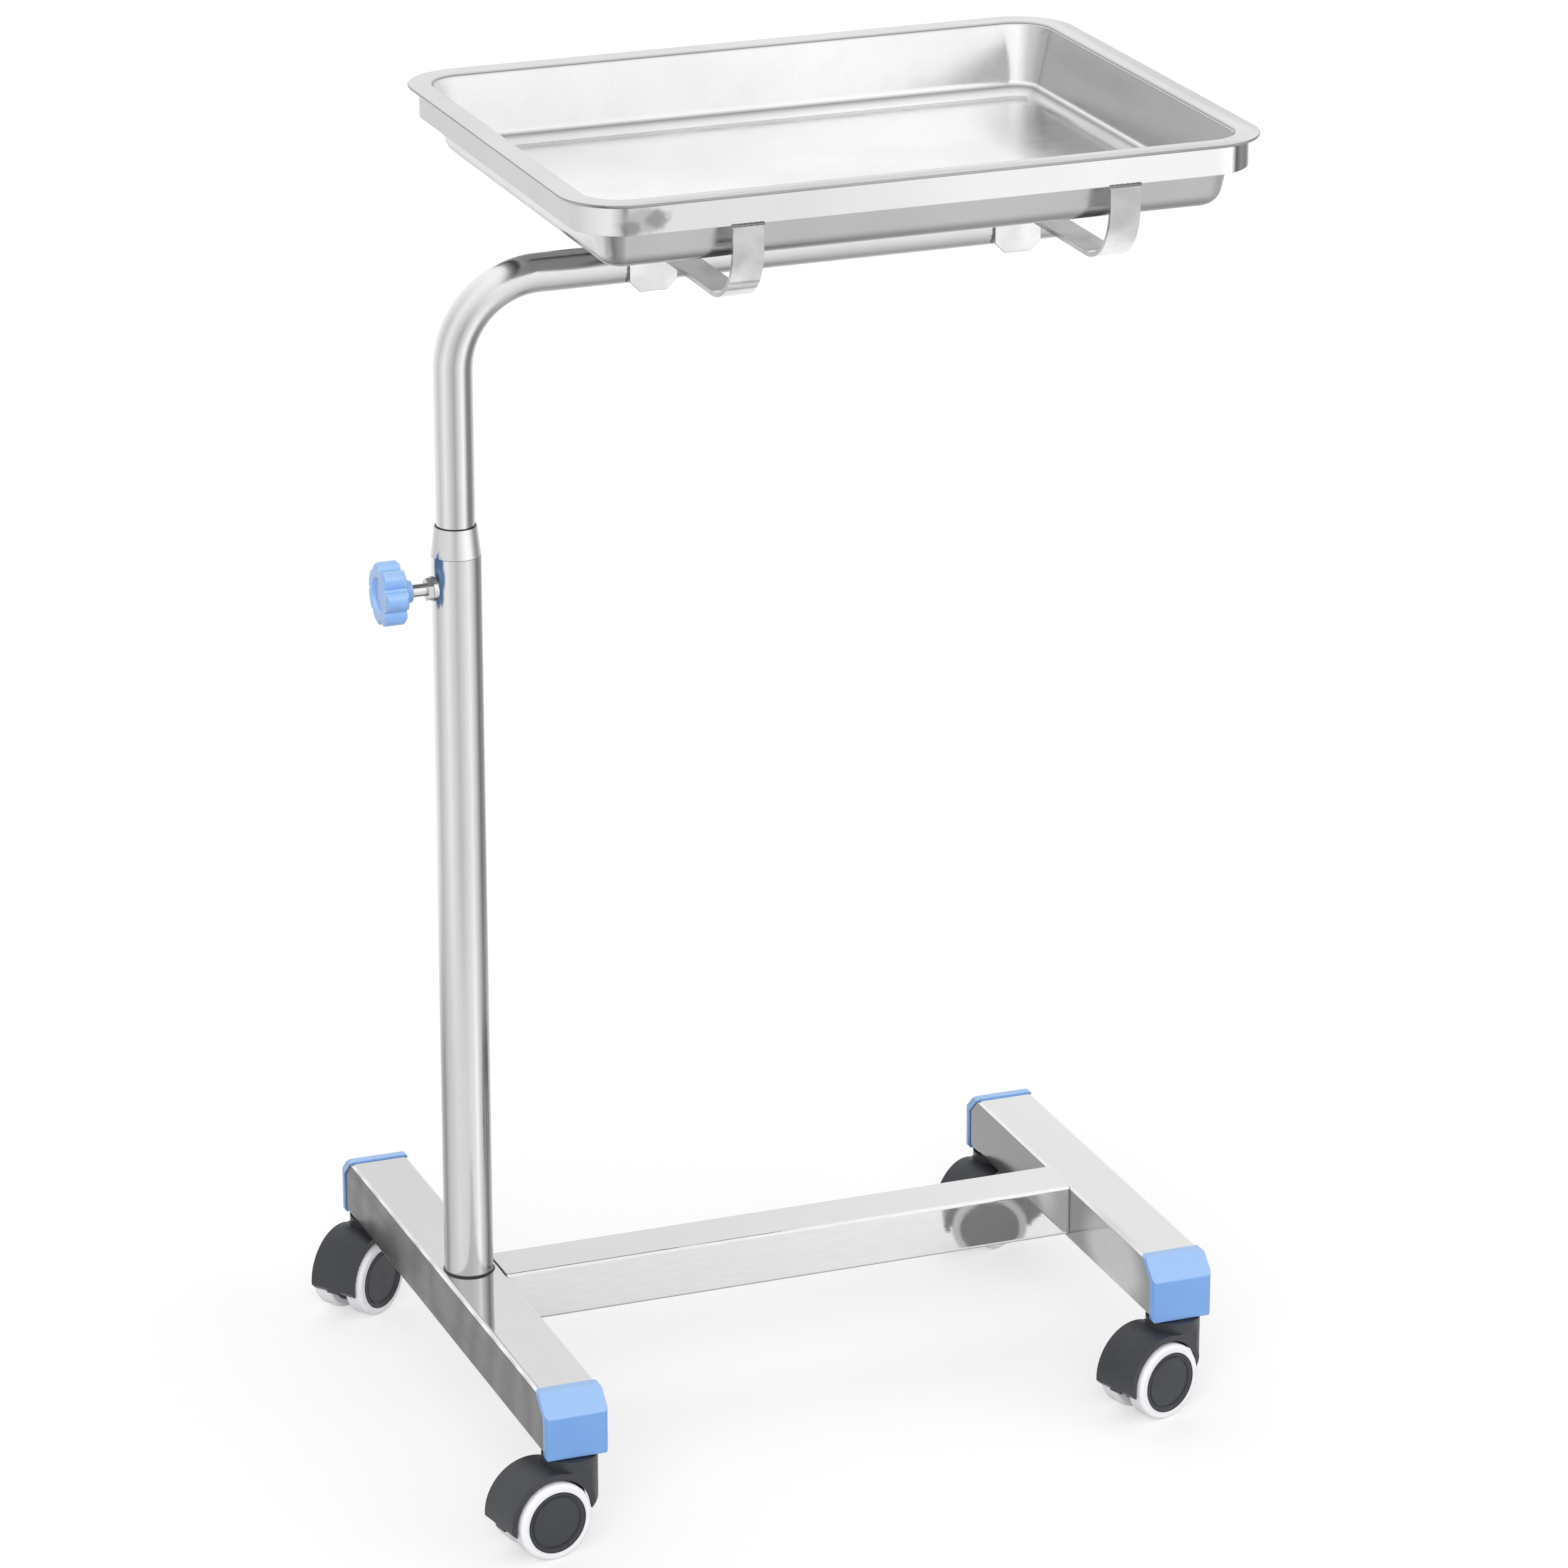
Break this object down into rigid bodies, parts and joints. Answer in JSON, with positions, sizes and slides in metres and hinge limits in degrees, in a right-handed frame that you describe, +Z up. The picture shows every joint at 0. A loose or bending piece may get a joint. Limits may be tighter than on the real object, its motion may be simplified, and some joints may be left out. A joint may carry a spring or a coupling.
{
  "type": "instrument cart",
  "caption": "Wheeled single-post instrument stand: H-shaped tube base, clamped telescopic post, cantilever arm and a lift-out stainless tray.",
  "frame": {"origin": "middle of the cart's footprint at floor level, with the casters as they rest", "axes": "+X from the column towards the toe beam, along the arm; +Y across the cart, away from the near side; +Z up"},
  "size_m": [0.5378, 0.446, 0.8645],
  "materials": {
    "tube_steel": "polished stainless tube and bar with fine lengthwise grain",
    "polished_steel": "pressed stainless sheet, bright satin polish",
    "plated_steel": "zinc-plated steel",
    "blue_plastic": "moulded light-blue plastic, low gloss",
    "dark_plastic": "moulded dark-grey plastic",
    "wheel_tyre": "non-marking white-grey tyre",
    "grey_plastic": "moulded grey plastic",
    "nylon": "natural nylon"
  },
  "bodies": {
    "base": {"mast_beam": "tube_steel", "toe_beam": "tube_steel", "spine_beam": "tube_steel", "cap_mast_near": "blue_plastic", "cap_mast_far": "blue_plastic", "cap_toe_near": "blue_plastic", "cap_toe_far": "blue_plastic", "socket_mast_near": "plated_steel", "socket_mast_far": "plated_steel", "socket_toe_near": "plated_steel", "socket_toe_far": "plated_steel", "stem_mast_near": "plated_steel", "stem_mast_far": "plated_steel", "stem_toe_near": "plated_steel", "stem_toe_far": "plated_steel", "column_tube": "tube_steel", "guide_collar": "tube_steel", "clamp_nut": "tube_steel"},
    "mast_slide": {"guide_bush": "nylon"},
    "tray_arm": {"arm_tube": "tube_steel", "arm_plug": "grey_plastic", "saddle_inner": "tube_steel", "saddle_outer": "tube_steel", "strap_inner": "tube_steel", "strap_outer": "tube_steel", "tray_frame": "polished_steel"},
    "tray": {"tray": "polished_steel"},
    "clamp_screw": {"clamp_stud": "plated_steel"},
    "knob": {"clamp_knob": "blue_plastic"},
    "caster_mast_near": {"hood_mast_near": "dark_plastic", "axle_mast_near": "plated_steel"},
    "wheel_mast_near_a": {"hub_mast_near_a": "dark_plastic", "tyre_mast_near_a": "wheel_tyre"},
    "wheel_mast_near_b": {"hub_mast_near_b": "dark_plastic", "tyre_mast_near_b": "wheel_tyre"},
    "caster_mast_far": {"hood_mast_far": "dark_plastic", "axle_mast_far": "plated_steel"},
    "wheel_mast_far_a": {"hub_mast_far_a": "dark_plastic", "tyre_mast_far_a": "wheel_tyre"},
    "wheel_mast_far_b": {"hub_mast_far_b": "dark_plastic", "tyre_mast_far_b": "wheel_tyre"},
    "caster_toe_near": {"hood_toe_near": "dark_plastic", "axle_toe_near": "plated_steel"},
    "wheel_toe_near_a": {"hub_toe_near_a": "dark_plastic", "tyre_toe_near_a": "wheel_tyre"},
    "wheel_toe_near_b": {"hub_toe_near_b": "dark_plastic", "tyre_toe_near_b": "wheel_tyre"},
    "caster_toe_far": {"hood_toe_far": "dark_plastic", "axle_toe_far": "plated_steel"},
    "wheel_toe_far_a": {"hub_toe_far_a": "dark_plastic", "tyre_toe_far_a": "wheel_tyre"},
    "wheel_toe_far_b": {"hub_toe_far_b": "dark_plastic", "tyre_toe_far_b": "wheel_tyre"}
  },
  "joints": [
    {"name": "mast_height", "type": "slide", "parent": "base", "child": "mast_slide", "axis": [0, 0, 1], "range_m": [-0.095, 0.28]},
    {"name": "arm_swivel", "type": "hinge", "parent": "mast_slide", "child": "tray_arm", "pos_m": [-0.2126, 0.00538, 0.776], "axis": [0, 0, 1], "continuous": true},
    {"name": "tray_lift", "type": "slide", "parent": "tray_arm", "child": "tray", "axis": [0, 0, 1], "range_m": [0, 0.15]},
    {"name": "clamp_travel", "type": "slide", "parent": "base", "child": "clamp_screw", "axis": [-1, 0, 0], "range_m": [0, 0.00501]},
    {"name": "knob_turn", "type": "hinge", "parent": "clamp_screw", "child": "knob", "pos_m": [-0.2576, 0.00538, 0.5765], "axis": [-1, 0, 0], "range_deg": [0, 1440]},
    {"name": "swivel_mast_near", "type": "hinge", "parent": "base", "child": "caster_mast_near", "pos_m": [-0.2126, -0.19412, 0], "axis": [0, 0, 1], "continuous": true},
    {"name": "spin_mast_near_a", "type": "hinge", "parent": "caster_mast_near", "child": "wheel_mast_near_a", "pos_m": [-0.23465, -0.19861, 0.026], "axis": [-0.1994, 0.9799, 0], "continuous": true},
    {"name": "spin_mast_near_b", "type": "hinge", "parent": "caster_mast_near", "child": "wheel_mast_near_b", "pos_m": [-0.23465, -0.19861, 0.026], "axis": [-0.1994, 0.9799, 0], "continuous": true},
    {"name": "swivel_mast_far", "type": "hinge", "parent": "base", "child": "caster_mast_far", "pos_m": [-0.2126, 0.20488, 0], "axis": [0, 0, 1], "continuous": true},
    {"name": "spin_mast_far_a", "type": "hinge", "parent": "caster_mast_far", "child": "wheel_mast_far_a", "pos_m": [-0.2308, 0.19165, 0.026], "axis": [-0.5878, 0.809, 0], "continuous": true},
    {"name": "spin_mast_far_b", "type": "hinge", "parent": "caster_mast_far", "child": "wheel_mast_far_b", "pos_m": [-0.2308, 0.19165, 0.026], "axis": [-0.5878, 0.809, 0], "continuous": true},
    {"name": "swivel_toe_near", "type": "hinge", "parent": "base", "child": "caster_toe_near", "pos_m": [0.2284, -0.14212, 0], "axis": [0, 0, 1], "continuous": true},
    {"name": "spin_toe_near_a", "type": "hinge", "parent": "caster_toe_near", "child": "wheel_toe_near_a", "pos_m": [0.20726, -0.14982, 0.026], "axis": [-0.342, 0.9397, 0], "continuous": true},
    {"name": "spin_toe_near_b", "type": "hinge", "parent": "caster_toe_near", "child": "wheel_toe_near_b", "pos_m": [0.20726, -0.14982, 0.026], "axis": [-0.342, 0.9397, 0], "continuous": true},
    {"name": "swivel_toe_far", "type": "hinge", "parent": "base", "child": "caster_toe_far", "pos_m": [0.2284, 0.15288, 0], "axis": [0, 0, 1], "continuous": true},
    {"name": "spin_toe_far_a", "type": "hinge", "parent": "caster_toe_far", "child": "wheel_toe_far_a", "pos_m": [0.20892, 0.14163, 0.026], "axis": [-0.5, 0.866, 0], "continuous": true},
    {"name": "spin_toe_far_b", "type": "hinge", "parent": "caster_toe_far", "child": "wheel_toe_far_b", "pos_m": [0.20892, 0.14163, 0.026], "axis": [-0.5, 0.866, 0], "continuous": true}
  ],
  "couplings": [
    {"joint": "clamp_travel", "follows": "knob_turn", "m_per_rad": 0.00019894}
  ]
}
